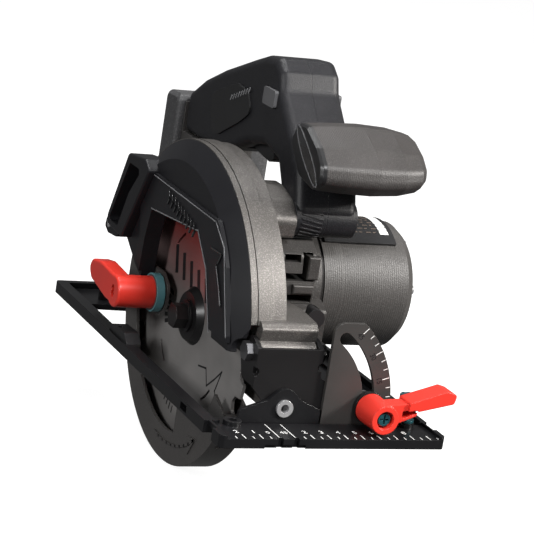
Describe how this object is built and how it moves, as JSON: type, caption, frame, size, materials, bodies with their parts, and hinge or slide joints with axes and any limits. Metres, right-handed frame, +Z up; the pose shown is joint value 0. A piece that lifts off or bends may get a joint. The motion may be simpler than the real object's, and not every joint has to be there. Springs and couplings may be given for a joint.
{
  "type": "cordless circular saw",
  "caption": "Cordless circular saw with left-hand blade, swinging lower guard, tilting and depth-adjusting shoe, top grip, front handle and slide-on battery.",
  "frame": {"origin": "on the sole of the shoe, in the plane of the blade, straight under the arbor", "axes": "+X from the blade to the motor, -Y the way the saw cuts, +Z up from the sole"},
  "size_m": [0.1575, 0.286, 0.2395],
  "materials": {
    "black_steel": "satin",
    "bright_steel": "satin",
    "cast_alloy": "textured",
    "guard_grey": "satin",
    "black_plastic": "matte",
    "grey_plastic": "textured",
    "red_plastic": "satin",
    "soft_rubber": "matte",
    "lens": "clear",
    "copper_iron": "satin",
    "brass_part": "satin"
  },
  "bodies": {
    "shoe": {"shoe_plate": "black_steel", "pivot_lugs": "black_steel", "pivot_rivets": "bright_steel", "bevel_quadrant": "black_steel", "shoe_rivets": "bright_steel", "rail_block": "black_plastic"},
    "fence_screw": {"fence_thumb_screw": "bright_steel"},
    "bevel_frame": {"front_bracket": "black_steel", "depth_pivot_bolt": "bright_steel", "depth_pivot_nut": "bright_steel", "depth_guide": "black_steel", "bevel_stud": "bright_steel", "bevel_washer": "black_steel", "bevel_lever_screw": "bright_steel"},
    "bevel_clamp": {"bevel_lever": "red_plastic"},
    "head": {"upper_guard": "cast_alloy", "guard_side_ring": "cast_alloy", "guard_cover": "black_plastic", "dust_chute": "black_plastic", "chute_screw": "bright_steel", "guard_spring": "bright_steel", "gear_case": "cast_alloy", "motor_housing": "grey_plastic", "motor_end_cap": "grey_plastic", "motor_panel": "black_plastic", "motor_stator": "copper_iron", "ball_bearings": "bright_steel", "motor_screws": "bright_steel", "work_light": "lens", "depth_clamp_bolt": "bright_steel", "handle_shell_left": "black_plastic", "handle_shell_right": "black_plastic", "rear_housing_left": "grey_plastic", "rear_housing_right": "grey_plastic", "grip_pads": "soft_rubber", "aux_handle_inner": "grey_plastic", "aux_handle_outer": "black_plastic", "aux_handle_cap": "black_plastic", "handle_screws": "bright_steel", "switch_body": "black_plastic", "control_board": "brass_part", "battery_rail": "bright_steel"},
    "depth_clamp": {"depth_lever": "red_plastic"},
    "guard_ring": {"guard_bearing_ring": "bright_steel"},
    "lower_guard": {"lower_guard": "guard_grey", "guard_lever": "red_plastic", "guard_lever_screw": "bright_steel"},
    "spindle": {"spindle_shaft": "bright_steel", "drive_gear": "bright_steel", "saw_blade": "bright_steel", "inner_flange": "bright_steel", "outer_flange": "bright_steel", "blade_bolt": "black_steel"},
    "rotor": {"motor_rotor": "bright_steel", "cooling_fan": "black_plastic"},
    "trigger": {"switch_trigger": "black_plastic"},
    "lock_off": {"lock_off_button": "grey_plastic"},
    "spindle_lock": {"spindle_lock_button": "black_plastic"},
    "battery": {"battery_pack": "black_plastic"},
    "battery_latch": {"battery_latch": "black_plastic"}
  },
  "joints": [
    {"name": "bevel", "type": "hinge", "parent": "shoe", "child": "bevel_frame", "pos_m": [0.011, 0, 0.0138], "axis": [0, -1, 0], "range_deg": [0, 50]},
    {"name": "cutting_depth", "type": "hinge", "parent": "bevel_frame", "child": "head", "pos_m": [0.01, -0.0975, 0.0415], "axis": [1, 0, 0], "range_deg": [0, 28]},
    {"name": "guard_ring_turn", "type": "hinge", "parent": "head", "child": "guard_ring", "pos_m": [0.0066, 0, 0.03], "axis": [1, 0, 0], "range_deg": [0, 53]},
    {"name": "lower_guard_turn", "type": "hinge", "parent": "guard_ring", "child": "lower_guard", "pos_m": [0, 0, 0.03], "axis": [1, 0, 0], "range_deg": [0, 113], "stiffness_Nm_per_rad": 0.15, "springref_deg": -34.38},
    {"name": "blade_spin", "type": "hinge", "parent": "head", "child": "spindle", "pos_m": [0, 0, 0.03], "axis": [1, 0, 0], "continuous": true},
    {"name": "rotor_spin", "type": "hinge", "parent": "head", "child": "rotor", "pos_m": [0.06, -0.006, 0.0556], "axis": [1, 0, 0], "continuous": true},
    {"name": "bevel_lever_turn", "type": "hinge", "parent": "bevel_frame", "child": "bevel_clamp", "pos_m": [0.06097, -0.124, 0.01554], "axis": [0, -1, 0], "range_deg": [0, 60]},
    {"name": "depth_lever_turn", "type": "hinge", "parent": "head", "child": "depth_clamp", "pos_m": [0.021, 0.06147, 0.02339], "axis": [1, 0, 0], "range_deg": [0, 40]},
    {"name": "fence_screw_turn", "type": "hinge", "parent": "shoe", "child": "fence_screw", "pos_m": [0.0845, -0.1136, 0.012], "axis": [0, 0, 1], "range_deg": [-360, 360]},
    {"name": "trigger_pull", "type": "hinge", "parent": "head", "child": "trigger", "pos_m": [0.047, 0.014, 0.138], "axis": [1, 0, 0], "range_deg": [0, 7], "stiffness_Nm_per_rad": 0.5, "springref_deg": -2.86},
    {"name": "lock_off_push", "type": "slide", "parent": "head", "child": "lock_off", "axis": [1, 0, 0], "range_m": [0, 0.0025], "stiffness_N_per_m": 600, "springref_m": -0.001},
    {"name": "spindle_lock_push", "type": "slide", "parent": "head", "child": "spindle_lock", "axis": [0, 1, 0], "range_m": [0, 0.003], "stiffness_N_per_m": 600, "springref_m": -0.001},
    {"name": "battery_slide", "type": "slide", "parent": "head", "child": "battery", "axis": [0, 0, 1], "range_m": [0, 0.06]},
    {"name": "battery_latch_push", "type": "slide", "parent": "battery", "child": "battery_latch", "axis": [0, -1, 0], "range_m": [0, 0.0025], "stiffness_N_per_m": 500, "springref_m": -0.001}
  ],
  "couplings": [
    {"joint": "rotor_spin", "follows": "blade_spin", "ratio": -3.6364},
    {"joint": "guard_ring_turn", "follows": "bevel", "ratio": 1.05}
  ]
}
